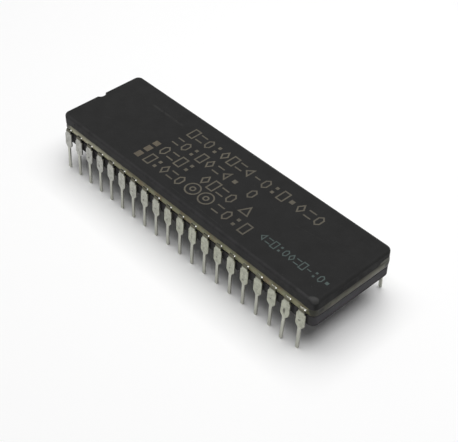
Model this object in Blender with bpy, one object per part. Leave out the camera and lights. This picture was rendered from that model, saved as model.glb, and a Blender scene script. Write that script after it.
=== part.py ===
# Ceramic dual in-line chip package with 40 leads, modelled as the pieces it is made of.
# Metres, +Z up. The lead tips stand on Z = 0, the notched end points to -X and lead 1 is
# at the -X end of the -Y row.

import math

import bmesh
import bpy
from mathutils import Matrix, Vector
from mathutils.geometry import interpolate_bezier

MM = 0.001

# The two rows of leads
LEADS_PER_SIDE = 20
LEAD_PITCH = 2.54 * MM
ROW_SPACING = 15.24 * MM  # between the middles of the two rows of blades, at the bends
LEAD_THICKNESS = 0.25 * MM
BEND_RADIUS = 0.15 * MM  # inside the bend
BEND_SEGMENTS = 5
SPLAY = math.radians(3.1)  # the rows open outwards until the chip is pushed into a board
BENT_LEAD = 19  # this lead has been knocked outwards
BENT_LEAD_SPLAY = math.radians(3.6)

# One lead's blade and leg, along the strip that it is stamped from
LEG_WIDTH = 0.48 * MM
LEG_LENGTH = 3.6 * MM
TIP_WIDTH = 0.30 * MM
TIP_TAPER = 0.16 * MM
BLADE_WIDTH = 1.58 * MM
BLADE_LENGTH = 2.0 * MM
NECK_WIDTH = 0.96 * MM
NECK_STEP = 0.05 * MM  # how far the shoulder between neck and blade takes to open out

# The fingers inside the glass
KNEE_WIDTH = 0.50 * MM
FINGER_WIDTH = 0.29 * MM
FINGER_END_LENGTH = 1.2 * MM
NECK_IN_GLASS = 0.5 * MM
KNEE_DEPTH = 1.1 * MM  # from the body's side to the innermost knees
KNEE_STEP = 0.46 * MM
END_FINGERS = 7  # in each quarter, those that reach the cavity's end wall
SIDE_FINGER_PITCH = 1.25 * MM

# The ceramic body
SIDE_GAP = 0.245 * MM  # from the body's side to the leads' inner faces
END_MARGIN = 1.7 * MM  # from the last lead's middle to the body's end
CORNER_RADIUS = 0.95 * MM
CORNER_SEGMENTS = 6
STANDOFF = 0.75 * MM  # from the shoulders that stop on the board to the base's underside
BASE_THICKNESS = 2.08 * MM
BASE_CHAMFER = 0.45 * MM
BASE_EDGE_RADIUS = 0.2 * MM
LID_THICKNESS = 1.73 * MM
LID_EDGE_RADIUS = 0.45 * MM
LID_FOOT_RADIUS = 0.15 * MM  # round the lid's edge on the glass
LID_SHIFT = 0.05 * MM  # the lid was sealed a little off the middle, towards the far row
NOTCH_RADIUS = 0.84 * MM
NOTCH_DEPTH = 0.75 * MM
NOTCH_SHIFT = -0.12 * MM  # the notch is off the lid's middle, towards the near row
LID_RECESS_DEPTH = 0.45 * MM

# The glass seal
GLASS_ABOVE_LEADS = 0.235 * MM
GLASS_BELOW_LEADS = 0.215 * MM
GLASS_TOP_INSET = 0.2 * MM
GLASS_BULGE = 0.08 * MM  # how far the squeezed-out glass stands proud of the base
SEAL_CLEARANCE = 0.015 * MM  # between the glass and what it is fused to

# The chip in its cavity
DIE_LENGTH = 6.2 * MM
DIE_WIDTH = 5.8 * MM
DIE_THICKNESS = 0.45 * MM
ATTACH_THICKNESS = 0.05 * MM
ATTACH_MARGIN = 0.15 * MM  # how far the attach layer runs out round the die
CAVITY_MARGIN = 0.7 * MM  # from the die's side to the cavity's wall
CAVITY_DEPTH = 0.6 * MM
CAVITY_RADIUS = 0.4 * MM
LEDGE = 0.2 * MM  # from the cavity's wall to the ends of the fingers
BOND_LEDGE = 1.4 * MM  # bare stretch of each finger inside the seal
SEAT_CLEARANCE = 0.012 * MM

# The bond wires
WIRE_DIAMETER = 0.032 * MM
WIRE_SIDES = 5
WIRE_POINTS = 7
WIRE_RISE = 0.3 * MM
WIRE_FROM_TIP = 0.35 * MM
PAD_INSET = 0.2 * MM

# Heights, from the tips up
TIP_MIDDLE = LEAD_THICKNESS / 2 * math.sin(SPLAY)  # each splayed tip stands on its inner edge
SEATING_PLANE = TIP_MIDDLE + LEG_LENGTH * math.cos(SPLAY)
BASE_BOTTOM = SEATING_PLANE + STANDOFF
BASE_TOP = BASE_BOTTOM + BASE_THICKNESS
LEAD_BOTTOM = BASE_TOP + GLASS_BELOW_LEADS
LEAD_MIDDLE = LEAD_BOTTOM + LEAD_THICKNESS / 2
LEAD_TOP = LEAD_BOTTOM + LEAD_THICKNESS
LID_BOTTOM = LEAD_TOP + GLASS_ABOVE_LEADS
LID_TOP = LID_BOTTOM + LID_THICKNESS
CAVITY_FLOOR = BASE_TOP - CAVITY_DEPTH
DIE_BOTTOM = CAVITY_FLOOR + ATTACH_THICKNESS + 2 * SEAT_CLEARANCE
DIE_TOP = DIE_BOTTOM + DIE_THICKNESS

# Plan sizes
BODY_LENGTH = (LEADS_PER_SIDE - 1) * LEAD_PITCH + 2 * END_MARGIN
BODY_WIDTH = ROW_SPACING - LEAD_THICKNESS - 2 * SIDE_GAP
CAVITY_LENGTH = DIE_LENGTH + 2 * CAVITY_MARGIN
CAVITY_WIDTH = DIE_WIDTH + 2 * CAVITY_MARGIN
FINGER_END_X = CAVITY_LENGTH / 2 + LEDGE
FINGER_END_Y = CAVITY_WIDTH / 2 + LEDGE
END_FINGER_PITCH = (FINGER_END_Y - FINGER_WIDTH / 2) / END_FINGERS
WINDOW_LENGTH = 2 * (FINGER_END_X + BOND_LEDGE)
WINDOW_WIDTH = 2 * (FINGER_END_Y + BOND_LEDGE)


def clear_scene():
    for obj in list(bpy.data.objects):
        bpy.data.objects.remove(obj, do_unlink=True)


def make_material(name, color, roughness, metallic=0.0):
    material = bpy.data.materials.new(name)
    material.use_nodes = True
    shader = material.node_tree.nodes["Principled BSDF"]
    shader.inputs["Base Color"].default_value = (*color, 1)
    shader.inputs["Roughness"].default_value = roughness
    shader.inputs["Metallic"].default_value = metallic
    return material


def add_object(name, bm, material=None, smooth_angle=35):
    """Turns a bmesh into an object of the scene. One with no material is a helper."""
    mesh = bpy.data.meshes.new(name)
    bmesh.ops.recalc_face_normals(bm, faces=bm.faces)
    bm.to_mesh(mesh)
    bm.free()
    mesh.shade_smooth()
    mesh.set_sharp_from_angle(angle=math.radians(smooth_angle))
    obj = bpy.data.objects.new(name, mesh)
    bpy.context.scene.collection.objects.link(obj)
    if material:
        mesh.materials.append(material)
    else:
        obj.hide_render = True
        obj.display_type = "WIRE"
    return obj


def add_boolean(obj, other, operation="DIFFERENCE"):
    modifier = obj.modifiers.new(other.name, "BOOLEAN")
    modifier.operation = operation
    modifier.object = other


def rim(bm, height):
    """The edges that lie at one height."""
    close = 0.001 * MM
    return [e for e in bm.edges if all(abs(v.co.z - height) < close for v in e.verts)]


def round_edges(bm, edges, radius, segments):
    bmesh.ops.bevel(bm, geom=edges, offset=radius, segments=segments, profile=0.5, affect="EDGES")


def rounded_block(length, width, low, high, radius, segments=CORNER_SEGMENTS, shift=0.0):
    """A block with rounded upright corners."""
    bm = bmesh.new()
    place = Matrix.Translation((0, shift, (low + high) / 2))
    size = Matrix.Diagonal((length, width, high - low, 1))
    bmesh.ops.create_cube(bm, size=1, matrix=place @ size)
    upright = [e for e in bm.edges if abs(e.verts[0].co.z - e.verts[1].co.z) > (high - low) / 2]
    round_edges(bm, upright, radius, segments)
    return bm


def loft(rings):
    """A closed solid through rings of equally many points, with flat ends."""
    bm = bmesh.new()
    loops = [[bm.verts.new(point) for point in ring] for ring in rings]
    for low, high in zip(loops, loops[1:]):
        for i in range(len(low)):
            j = (i + 1) % len(low)
            bm.faces.new((low[i], low[j], high[j], high[i]))
    bm.faces.new(loops[0])
    bm.faces.new(loops[-1])
    return bm


def rounded_ring(inset, height, shift=0.0):
    """The body's outline, drawn in by an inset, as points at one height."""
    radius = CORNER_RADIUS - inset
    reach_x = BODY_LENGTH / 2 - CORNER_RADIUS
    reach_y = BODY_WIDTH / 2 - CORNER_RADIUS
    points = []
    for corner in range(4):
        sign_x = 1 if corner in (0, 3) else -1
        sign_y = 1 if corner in (0, 1) else -1
        for step in range(CORNER_SEGMENTS + 1):
            angle = math.radians(90) * (corner + step / CORNER_SEGMENTS)
            x = sign_x * reach_x + radius * math.cos(angle)
            y = sign_y * reach_y + radius * math.sin(angle) + shift
            points.append(Vector((x, y, height)))
    return points


def make_base(material):
    bm = rounded_block(BODY_LENGTH, BODY_WIDTH, BASE_BOTTOM, BASE_TOP, CORNER_RADIUS)
    round_edges(bm, rim(bm, BASE_TOP), BASE_CHAMFER, 1)
    round_edges(bm, rim(bm, BASE_BOTTOM), BASE_EDGE_RADIUS, 2)
    base = add_object("base", bm, material)
    above = BASE_TOP + CAVITY_DEPTH
    cavity = rounded_block(CAVITY_LENGTH, CAVITY_WIDTH, CAVITY_FLOOR, above, CAVITY_RADIUS, 3)
    add_boolean(base, add_object("cavity_cutter", cavity))


def make_lid(material):
    bm = rounded_block(BODY_LENGTH, BODY_WIDTH, LID_BOTTOM, LID_TOP, CORNER_RADIUS, shift=LID_SHIFT)
    round_edges(bm, rim(bm, LID_TOP), LID_EDGE_RADIUS, 3)
    round_edges(bm, rim(bm, LID_BOTTOM), LID_FOOT_RADIUS, 2)
    lid = add_object("lid", bm, material)
    notch = bmesh.new()
    centre_x = -BODY_LENGTH / 2 + NOTCH_DEPTH - NOTCH_RADIUS
    place = Matrix.Translation((centre_x, LID_SHIFT + NOTCH_SHIFT, (LID_BOTTOM + LID_TOP) / 2))
    bmesh.ops.create_cone(
        notch, cap_ends=True, segments=24, radius1=NOTCH_RADIUS, radius2=NOTCH_RADIUS,
        depth=2 * LID_THICKNESS, matrix=place,
    )
    add_boolean(lid, add_object("notch_cutter", notch))
    roof = LID_BOTTOM + LID_RECESS_DEPTH
    under = LID_BOTTOM - LID_RECESS_DEPTH
    recess = rounded_block(WINDOW_LENGTH, WINDOW_WIDTH, under, roof, CAVITY_RADIUS, 3)
    add_boolean(lid, add_object("lid_recess_cutter", recess))


def glass_rings():
    """From the base's chamfer, round the squeezed-out bead, and up to the lid."""
    lean = SEAL_CLEARANCE * (math.sqrt(2) - 1)
    low = BASE_TOP - BASE_CHAMFER
    drop = SEAL_CLEARANCE * math.sqrt(2)
    top = LID_BOTTOM - SEAL_CLEARANCE
    middle = (LEAD_BOTTOM + low) / 2
    return [
        rounded_ring(BASE_CHAMFER - lean, BASE_TOP + SEAL_CLEARANCE),
        rounded_ring(0, low + drop),
        rounded_ring(-GLASS_BULGE / 2, low + drop),
        rounded_ring(-GLASS_BULGE, middle),
        rounded_ring(-GLASS_BULGE, LEAD_BOTTOM),
        rounded_ring(0, LEAD_TOP - LEAD_THICKNESS / 4, LID_SHIFT / 2),
        rounded_ring(GLASS_TOP_INSET, top, LID_SHIFT),
    ]


def make_glass(material, cutters):
    glass = add_object("sealing_glass", loft(glass_rings()), material)
    floor = LEAD_BOTTOM - SEAL_CLEARANCE
    over = LID_BOTTOM + LID_RECESS_DEPTH
    window = rounded_block(WINDOW_LENGTH, WINDOW_WIDTH, floor, over, CAVITY_RADIUS, 3)
    add_boolean(glass, add_object("window_cutter", window))
    length = CAVITY_LENGTH + LEDGE
    width = CAVITY_WIDTH + LEDGE
    well = rounded_block(length, width, CAVITY_FLOOR, over, CAVITY_RADIUS, 3)
    add_boolean(glass, add_object("well_cutter", well))
    for cutter in cutters:
        add_boolean(glass, cutter)


def finger_points(index):
    """Where one finger runs in the lead frame's plane, from its end at the cavity out to
    the side of the body. index counts from 0 at the -X end, and the row is the -Y one."""
    middle = (LEADS_PER_SIDE - 1) / 2
    sign = -1 if index < middle else 1
    row_x = (index - middle) * LEAD_PITCH
    from_end = index if sign < 0 else LEADS_PER_SIDE - 1 - index
    side = BODY_WIDTH / 2
    knee_y = side - KNEE_DEPTH
    if from_end < END_FINGERS:
        end_y = (from_end + 0.5) * END_FINGER_PITCH
        end = Vector((sign * FINGER_END_X, -end_y, 0))
        away = Vector((sign, 0, 0))
        knee_y -= (END_FINGERS - 1 - from_end) * KNEE_STEP
    else:
        end_x = (abs(index - middle)) * SIDE_FINGER_PITCH
        end = Vector((sign * end_x, -FINGER_END_Y, 0))
        away = Vector((0, -1, 0))
    return [
        (end, FINGER_WIDTH),
        (end + away * FINGER_END_LENGTH, FINGER_WIDTH),
        (Vector((row_x, -knee_y, 0)), KNEE_WIDTH),
        (Vector((row_x, -(side - NECK_IN_GLASS), 0)), NECK_WIDTH),
    ]


def finger_stations(index):
    """The finger as stations: middle, half width across and half thickness up."""
    points = finger_points(index)
    lift = Vector((0, 0, LEAD_MIDDLE))
    up = Vector((0, 0, LEAD_THICKNESS / 2))
    stations = []
    for i, (point, width) in enumerate(points):
        before = points[max(i - 1, 0)][0]
        after = points[i + 1][0] if i + 1 < len(points) else point + Vector((0, -1, 0)) * MM
        going_in = (point - before).normalized() if i else (after - point).normalized()
        going_out = (after - point).normalized()
        along = (going_in + going_out).normalized()
        across = Vector((along.y, -along.x, 0)) * width / 2 / along.dot(going_out)
        stations.append((point + lift, across, up))
    return stations


def strip_shape():
    """Distance along the strip below the bend, and half width there, down to the tip."""
    shoulder = (BLADE_WIDTH - LEG_WIDTH) / 2
    radius = BEND_RADIUS + LEAD_THICKNESS / 2
    bend_end = LEAD_MIDDLE - radius * (1 - math.sin(SPLAY))
    tip = (bend_end - TIP_MIDDLE) / math.cos(SPLAY)
    blade_end = tip - LEG_LENGTH - shoulder
    return [
        (blade_end - BLADE_LENGTH - NECK_STEP, NECK_WIDTH / 2),
        (blade_end - BLADE_LENGTH, BLADE_WIDTH / 2),
        (blade_end, BLADE_WIDTH / 2),
        (tip - LEG_LENGTH, LEG_WIDTH / 2),
        (tip - TIP_TAPER, LEG_WIDTH / 2),
        (tip, TIP_WIDTH / 2),
    ]


def blade_stations(index, splay):
    """The bend and the blade as stations, from the horizontal run to the tip."""
    x = (index - (LEADS_PER_SIDE - 1) / 2) * LEAD_PITCH
    radius = BEND_RADIUS + LEAD_THICKNESS / 2
    centre = Vector((x, -(ROW_SPACING / 2 - radius), LEAD_MIDDLE - radius))
    across = Vector((-1, 0, 0))
    half = LEAD_THICKNESS / 2
    stations = []
    for step in range(BEND_SEGMENTS + 1):
        angle = (math.radians(90) - splay) * step / BEND_SEGMENTS
        outward = Vector((0, -math.sin(angle), math.cos(angle)))
        stations.append((centre + outward * radius, across * NECK_WIDTH / 2, outward * half))
    start = stations[-1][0]
    down = Vector((0, -math.sin(splay), -math.cos(splay)))
    for distance, half_width in strip_shape():
        stations.append((start + down * distance, across * half_width, outward * half))
    return stations


def strip(stations, grow=0.0):
    """The solid strip through the stations, thicker and wider by grow on every side."""
    rings = []
    for middle, across, up in stations:
        a = across + across.normalized() * grow
        u = up + up.normalized() * grow
        rings.append([middle - a - u, middle + a - u, middle + a + u, middle - a + u])
    return loft(rings)


def bond_wire(index):
    """The wire from one finger's end down to its pad on the die, as a thin tube."""
    end = finger_points(index)[0][0]
    beyond = finger_points(index)[1][0]
    away = (beyond - end).normalized()
    foot = end + away * WIRE_FROM_TIP
    if abs(away.x) > 0.5:
        share = (DIE_WIDTH / 2 - PAD_INSET) / FINGER_END_Y
        pad = Vector((away.x * (DIE_LENGTH / 2 - PAD_INSET), end.y * share, 0))
    else:
        share = (DIE_LENGTH / 2 - PAD_INSET) / FINGER_END_X
        pad = Vector((end.x * share, away.y * (DIE_WIDTH / 2 - PAD_INSET), 0))
    foot.z = LEAD_TOP - LEAD_THICKNESS / 4
    pad.z = DIE_TOP + SEAT_CLEARANCE
    rise = Vector((0, 0, LEAD_TOP - foot.z + 4 / 3 * WIRE_RISE))
    fall = Vector((0, 0, foot.z + rise.z - pad.z))
    points = interpolate_bezier(foot, foot + rise, pad + fall, pad, WIRE_POINTS)
    side = Vector((0, 0, 1)).cross((pad - foot).normalized()).normalized()
    rings = []
    for i, point in enumerate(points):
        ends = i in (0, len(points) - 1)
        along = Vector((0, 0, 1 if i == 0 else -1)) if ends else points[i + 1] - points[i - 1]
        normal = side.cross(along.normalized())
        turn = [math.radians(360) * k / WIRE_SIDES for k in range(WIRE_SIDES)]
        offsets = [side * math.cos(t) + normal * math.sin(t) for t in turn]
        rings.append([point + o * WIRE_DIAMETER / 2 for o in offsets])
    return loft(rings)


def make_leads(material):
    """All leads, numbered from the notch along the -Y row and back along the +Y row.
    Returns the cutters that make room for them in the glass."""
    cutters = []
    for number in range(1, 2 * LEADS_PER_SIDE + 1):
        far_row = number > LEADS_PER_SIDE
        index = (number - 1) % LEADS_PER_SIDE
        splay = SPLAY + (BENT_LEAD_SPLAY if number == BENT_LEAD else 0)
        turned = Matrix.Rotation(math.radians(180) if far_row else 0, 4, "Z")
        fingers = finger_stations(index)
        stations = fingers + blade_stations(index, splay)
        lead = add_object(f"lead_{number:02d}", strip(stations), material)
        wire = add_object(f"bond_wire_{number:02d}", bond_wire(index))
        add_boolean(lead, wire, "UNION")
        first, second = stations[0], stations[1]
        past = (first[0] - second[0]).normalized() * SEAL_CLEARANCE
        room = [(first[0] + past, first[1], first[2])] + stations[1 : len(fingers) + 3]
        cutter = add_object(f"channel_cutter_{number:02d}", strip(room, SEAL_CLEARANCE))
        cutters.append(cutter)
        for obj in (lead, wire, cutter):
            obj.matrix_world = turned
    return cutters


def make_die(material):
    bm = rounded_block(DIE_LENGTH, DIE_WIDTH, DIE_BOTTOM, DIE_TOP, SEAT_CLEARANCE, 1)
    add_object("die", bm, material)


def make_attach(material):
    low = CAVITY_FLOOR + SEAT_CLEARANCE
    length = DIE_LENGTH + 2 * ATTACH_MARGIN
    width = DIE_WIDTH + 2 * ATTACH_MARGIN
    bm = rounded_block(length, width, low, low + ATTACH_THICKNESS, 2 * ATTACH_MARGIN, 3)
    add_object("die_attach", bm, material)


def main():
    clear_scene()
    ceramic = make_material("black_ceramic", (0.030, 0.030, 0.029), 0.5)
    solder_glass = make_material("olive_glass", (0.20, 0.19, 0.11), 0.3)
    tin = make_material("dull_tin", (0.62, 0.62, 0.58), 0.35, 1.0)
    silicon = make_material("silicon", (0.25, 0.27, 0.32), 0.15, 0.6)
    silver_glass = make_material("silver_glass", (0.70, 0.69, 0.66), 0.5, 1.0)
    make_base(ceramic)
    make_attach(silver_glass)
    make_die(silicon)
    cutters = make_leads(tin)
    make_glass(solder_glass, cutters)
    make_lid(ceramic)


main()
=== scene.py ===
# Looks of a 40-lead ceramic chip package: camera, light, finishes and the finer pieces.
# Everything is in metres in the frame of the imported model: +Z up, lead tips on Z = 0,
# notched end at -X, leads 1 to 20 along -Y.

import math

import bmesh
import bpy
from mathutils import Matrix, Vector, noise


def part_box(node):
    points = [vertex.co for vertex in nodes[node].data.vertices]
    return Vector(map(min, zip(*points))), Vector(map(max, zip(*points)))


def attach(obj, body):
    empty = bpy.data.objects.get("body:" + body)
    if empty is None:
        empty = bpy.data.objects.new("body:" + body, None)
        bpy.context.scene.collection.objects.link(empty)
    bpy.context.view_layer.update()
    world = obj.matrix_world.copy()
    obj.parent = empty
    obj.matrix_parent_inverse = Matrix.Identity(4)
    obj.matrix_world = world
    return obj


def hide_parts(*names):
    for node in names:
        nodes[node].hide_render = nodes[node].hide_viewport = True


mm = 0.001

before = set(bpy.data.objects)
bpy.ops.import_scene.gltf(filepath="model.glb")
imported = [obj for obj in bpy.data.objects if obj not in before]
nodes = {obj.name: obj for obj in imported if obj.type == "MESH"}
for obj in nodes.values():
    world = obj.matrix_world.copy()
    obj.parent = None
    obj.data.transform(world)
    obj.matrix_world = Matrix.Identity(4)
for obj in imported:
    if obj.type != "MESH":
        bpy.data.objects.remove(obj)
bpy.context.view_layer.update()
leadNames = sorted(name for name in nodes if name.startswith("lead_"))
print("frame loaded:", len(nodes), "nodes")


def newObject(name, data):
    obj = bpy.data.objects.new(name, data)
    bpy.context.scene.collection.objects.link(obj)
    return obj


# Camera, solved from the lead tips and bends in the photograph

cameraView = {
    "lens": 81.99,
    "sensor": 36.0,
    "azimuth": 46.97,
    "elevation": 42.70,
    "roll": 0.68,
    "target": (4.11 * mm, -1.32 * mm, 4.0 * mm),
    "distance": 143.9 * mm,
    "clip": (1 * mm, 5.0),
}


def makeCamera(settings):
    turn = math.radians(settings["azimuth"])
    rise = math.radians(settings["elevation"])
    roll = math.radians(settings["roll"])
    back = Vector((
        math.sin(turn) * math.cos(rise), -math.cos(turn) * math.cos(rise), math.sin(rise)
    ))
    right = Vector((math.cos(turn), math.sin(turn), 0))
    up = back.cross(right)
    rolledRight = right * math.cos(roll) + up * math.sin(roll)
    rolledUp = up * math.cos(roll) - right * math.sin(roll)
    data = bpy.data.cameras.new("camera")
    data.lens = settings["lens"]
    data.sensor_width = settings["sensor"]
    data.clip_start, data.clip_end = settings["clip"]
    place = Matrix((rolledRight, rolledUp, back)).transposed().to_4x4()
    place.translation = Vector(settings["target"]) + back * settings["distance"]
    camera = newObject("camera", data)
    camera.matrix_world = place
    bpy.context.scene.camera = camera


makeCamera(cameraView)
bpy.context.scene.view_settings.view_transform = "Standard"
print("camera placed")


# Small helpers for shader trees

def addNode(tree, kind, **inputs):
    node = tree.nodes.new(kind)
    for name, value in inputs.items():
        node.inputs[name.replace("_", " ")].default_value = value
    return node


def mathNode(tree, operation, first, second=None, third=None):
    node = tree.nodes.new("ShaderNodeMath")
    node.operation = operation
    for socket, value in zip(node.inputs, (first, second, third)):
        if value is None:
            continue
        if isinstance(value, (int, float)):
            socket.default_value = value
        else:
            tree.links.new(value, socket)
    return node.outputs[0]


def product(tree, first, *others):
    for value in others:
        first = mathNode(tree, "MULTIPLY", first, value)
    return first


def rangeNode(tree, value, fromLow, fromHigh, toLow=0.0, toHigh=1.0):
    node = addNode(
        tree, "ShaderNodeMapRange", From_Min=fromLow, From_Max=fromHigh, To_Min=toLow, To_Max=toHigh
    )
    node.interpolation_type = "SMOOTHSTEP"
    tree.links.new(value, node.inputs["Value"])
    return node.outputs["Result"]


def mixColors(tree, factor, first, second, blend="MIX"):
    node = tree.nodes.new("ShaderNodeMix")
    node.data_type = "RGBA"
    node.blend_type = blend
    # of the Mix node's sockets, 0, 6 and 7 take the factor and the two colours, and 2 gives
    # the mixed colour
    for number, value in ((0, factor), (6, first), (7, second)):
        if isinstance(value, (int, float)):
            node.inputs[number].default_value = value
        elif isinstance(value, tuple):
            node.inputs[number].default_value = (*value, 1)
        else:
            tree.links.new(value, node.inputs[number])
    return node.outputs[2]


def noiseNode(tree, place, size, detail, roughness):
    # size is the width of one blot, in metres
    node = addNode(tree, "ShaderNodeTexNoise", Scale=1 / size, Detail=detail, Roughness=roughness)
    tree.links.new(place, node.inputs["Vector"])
    return node.outputs[0]


def cloudMask(tree, place, cloud):
    # cloud: size, detail and roughness of the noise, then the two levels of it that become
    # 0 and 1, or the last two numbers where there are any
    size, detail, roughness, *levels = cloud
    return rangeNode(tree, noiseNode(tree, place, size, detail, roughness), *levels)


def splitPlace(tree, place):
    node = tree.nodes.new("ShaderNodeSeparateXYZ")
    tree.links.new(place, node.inputs[0])
    return node.outputs


def squareOf(tree, value, middle, reach):
    shifted = mathNode(tree, "DIVIDE", mathNode(tree, "SUBTRACT", value, middle), reach)
    return product(tree, shifted, shifted)


def farFrom(tree, *parts):
    # squared distance in reaches; each of the two parts is a value, its middle and its reach
    return mathNode(tree, "ADD", *(squareOf(tree, *part) for part in parts))


blotEdge = {
    "noise": (0.5 * mm, 4.0, 0.55),
    "fade": (0.15, 1.0),
    "ragged": 0.8,
}


def blotMask(tree, place, middle, reach, strength, ragged=blotEdge["ragged"]):
    # a soft ragged ellipsoid of that strength round a point, in mm
    cloud = noiseNode(tree, place, *blotEdge["noise"])
    far = mathNode(tree, "MULTIPLY_ADD", cloud, ragged, -ragged / 2)
    for value, centre, half in zip(splitPlace(tree, place), middle, reach):
        far = mathNode(tree, "ADD", far, squareOf(tree, value, centre * mm, half * mm))
    return rangeNode(tree, far, *blotEdge["fade"], strength, 0.0)


def startMaterial(name, **shaderInputs):
    material = bpy.data.materials.new(name)
    material.use_nodes = True
    tree = material.node_tree
    shader = tree.nodes["Principled BSDF"]
    for key, value in shaderInputs.items():
        shader.inputs[key.replace("_", " ")].default_value = value
    place = tree.nodes.new("ShaderNodeTexCoord").outputs["Object"]
    return material, tree, shader, place


mottleLevels = (0.3, 0.7)
bumpStrength = 0.5


def finishSurface(tree, shader, color, grain, look):
    # the colour, and the roughness and bump that come from the grain
    tree.links.new(color, shader.inputs["Base Color"])
    rough = rangeNode(tree, grain["Mottle"], *mottleLevels, *look["roughness"])
    tree.links.new(rough, shader.inputs["Roughness"])
    bump = addNode(tree, "ShaderNodeBump", Strength=bumpStrength, Distance=look["grainDepth"])
    tree.links.new(grain["Height"], bump.inputs["Height"])
    tree.links.new(bump.outputs["Normal"], shader.inputs["Normal"])


# Effects shared by several finishes

def startGroup(name, inputs, outputs):
    group = bpy.data.node_groups.new(name, "ShaderNodeTree")
    for label, kind, value in inputs:
        socket = group.interface.new_socket(label, in_out="INPUT", socket_type=kind)
        if value is not None:
            socket.default_value = value
    for label, kind in outputs:
        group.interface.new_socket(label, in_out="OUTPUT", socket_type=kind)
    entry = group.nodes.new("NodeGroupInput")
    leave = group.nodes.new("NodeGroupOutput")
    return group, entry, leave


grainNoise = {
    "Fine": 2.0,
    "Broad": 4.0,
    "roughness": 0.6,
}


def makeGrainGroup():
    # fine pressed or frosted grain with a broad unevenness under it
    group, entry, leave = startGroup(
        "grain",
        [("Place", "NodeSocketVector", None), ("Fine", "NodeSocketFloat", 10000.0),
         ("Broad", "NodeSocketFloat", 400.0), ("Broad Share", "NodeSocketFloat", 0.3)],
        [("Height", "NodeSocketFloat"), ("Mottle", "NodeSocketFloat")],
    )
    heights = []
    for label in ("Fine", "Broad"):
        cloud = addNode(
            group, "ShaderNodeTexNoise", Detail=grainNoise[label], Roughness=grainNoise["roughness"]
        )
        group.links.new(entry.outputs["Place"], cloud.inputs["Vector"])
        group.links.new(entry.outputs[label], cloud.inputs["Scale"])
        heights.append(cloud.outputs[0])
    blended = group.nodes.new("ShaderNodeMix")
    group.links.new(entry.outputs["Broad Share"], blended.inputs[0])
    group.links.new(heights[0], blended.inputs[2])
    group.links.new(heights[1], blended.inputs[3])
    group.links.new(blended.outputs[0], leave.inputs["Height"])
    group.links.new(heights[1], leave.inputs["Mottle"])
    return group


def makeSpeckGroup():
    # scattered small dots, each with its own brightness: dust, pits or inclusions
    group, entry, leave = startGroup(
        "specks",
        [("Place", "NodeSocketVector", None), ("Density", "NodeSocketFloat", 1500.0),
         ("Dot Size", "NodeSocketFloat", 0.15), ("Share", "NodeSocketFloat", 0.3)],
        [("Mask", "NodeSocketFloat")],
    )
    cells = group.nodes.new("ShaderNodeTexVoronoi")
    group.links.new(entry.outputs["Place"], cells.inputs["Vector"])
    group.links.new(entry.outputs["Density"], cells.inputs["Scale"])
    near = mathNode(group, "LESS_THAN", cells.outputs["Distance"], entry.outputs["Dot Size"])
    split = group.nodes.new("ShaderNodeSeparateColor")
    group.links.new(cells.outputs["Color"], split.inputs[0])
    chosen = mathNode(group, "LESS_THAN", split.outputs[0], entry.outputs["Share"])
    bright = product(group, near, chosen, split.outputs[1])
    group.links.new(bright, leave.inputs["Mask"])
    return group


grainGroup = makeGrainGroup()
speckGroup = makeSpeckGroup()


def useGroup(tree, group, place, **inputs):
    node = tree.nodes.new("ShaderNodeGroup")
    node.node_tree = group
    tree.links.new(place, node.inputs["Place"])
    for name, value in inputs.items():
        node.inputs[name.replace("_", " ")].default_value = value
    return node.outputs


# Black pressed ceramic of lid and base

lidLook = {
    "dark": (0.0075, 0.0075, 0.0075),
    "light": (0.0118, 0.0117, 0.0116),
    # painted light: the sides, the ends, the ends' top rounding and their foot get tones of their
    # own for how the light falls on them
    "side": (0.034, 0.0335, 0.0340),
    "end": (0.0072, 0.0072, 0.0072),
    "endTop": (0.0175, 0.0175, 0.0172),
    "endHighlightFrom": (8.40 * mm, 8.62 * mm),
    "foot": (0.0072, 0.0072, 0.0072),
    "footShadeTo": (7.0 * mm, 7.1 * mm),
    "speck": (0.035, 0.034, 0.032),
    "worn": (0.050, 0.049, 0.047),
    "roughness": (0.52, 0.66),
    "specular": 0.10,
    "grain": {"Fine": 1 / (0.07 * mm), "Broad": 450.0, "Broad_Share": 0.25},
    "grainLevels": (0.35, 0.65),
    "grainDepth": 0.004 * mm,
    "cloud": (1.1 * mm, 4.0, 0.55, 0.32, 0.62, 0.6, 1.0),
    "specks": {"Density": 2600.0, "Dot_Size": 0.13, "Share": 0.10},
    "scuffs": (0.35 * mm, 5.0, 0.7, 0.58, 0.70),
    "wornShare": 0.35,
    "wearWidth": 0.32 * mm,
    "skin": (0.15 * mm, 0.52 * mm),
    "ragged": 1.6,
}
baseLook = {
    **lidLook,
    "dark": (0.022, 0.0213, 0.0235),
    "light": (0.036, 0.0350, 0.0380),
    # painted light: the base's side and end are painted lighter than its top, and the ends' foot
    # darker as painted shade
    "side": (0.052, 0.0505, 0.0515),
    "end": (0.058, 0.0560, 0.0605),
    "foot": (0.012, 0.012, 0.013),
    "footShadeTo": (4.45 * mm, 4.95 * mm),
    "roughness": (0.55, 0.72),
}


def insetMasks(tree, place, box, reach):
    # 1 at the two long sides, and 1 at the two ends, fading to 0 inwards over reach
    low, high = box
    x, y, _ = splitPlace(tree, place)
    middle = (high.y + low.y) / 2
    masks = []
    for value, shift, size in ((y, middle, high.y - low.y), (x, 0.0, high.x - low.x)):
        off = mathNode(tree, "ABSOLUTE", mathNode(tree, "SUBTRACT", value, shift))
        masks.append(rangeNode(tree, mathNode(tree, "SUBTRACT", size / 2, off), *reach, 1.0, 0.0))
    return masks


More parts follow.
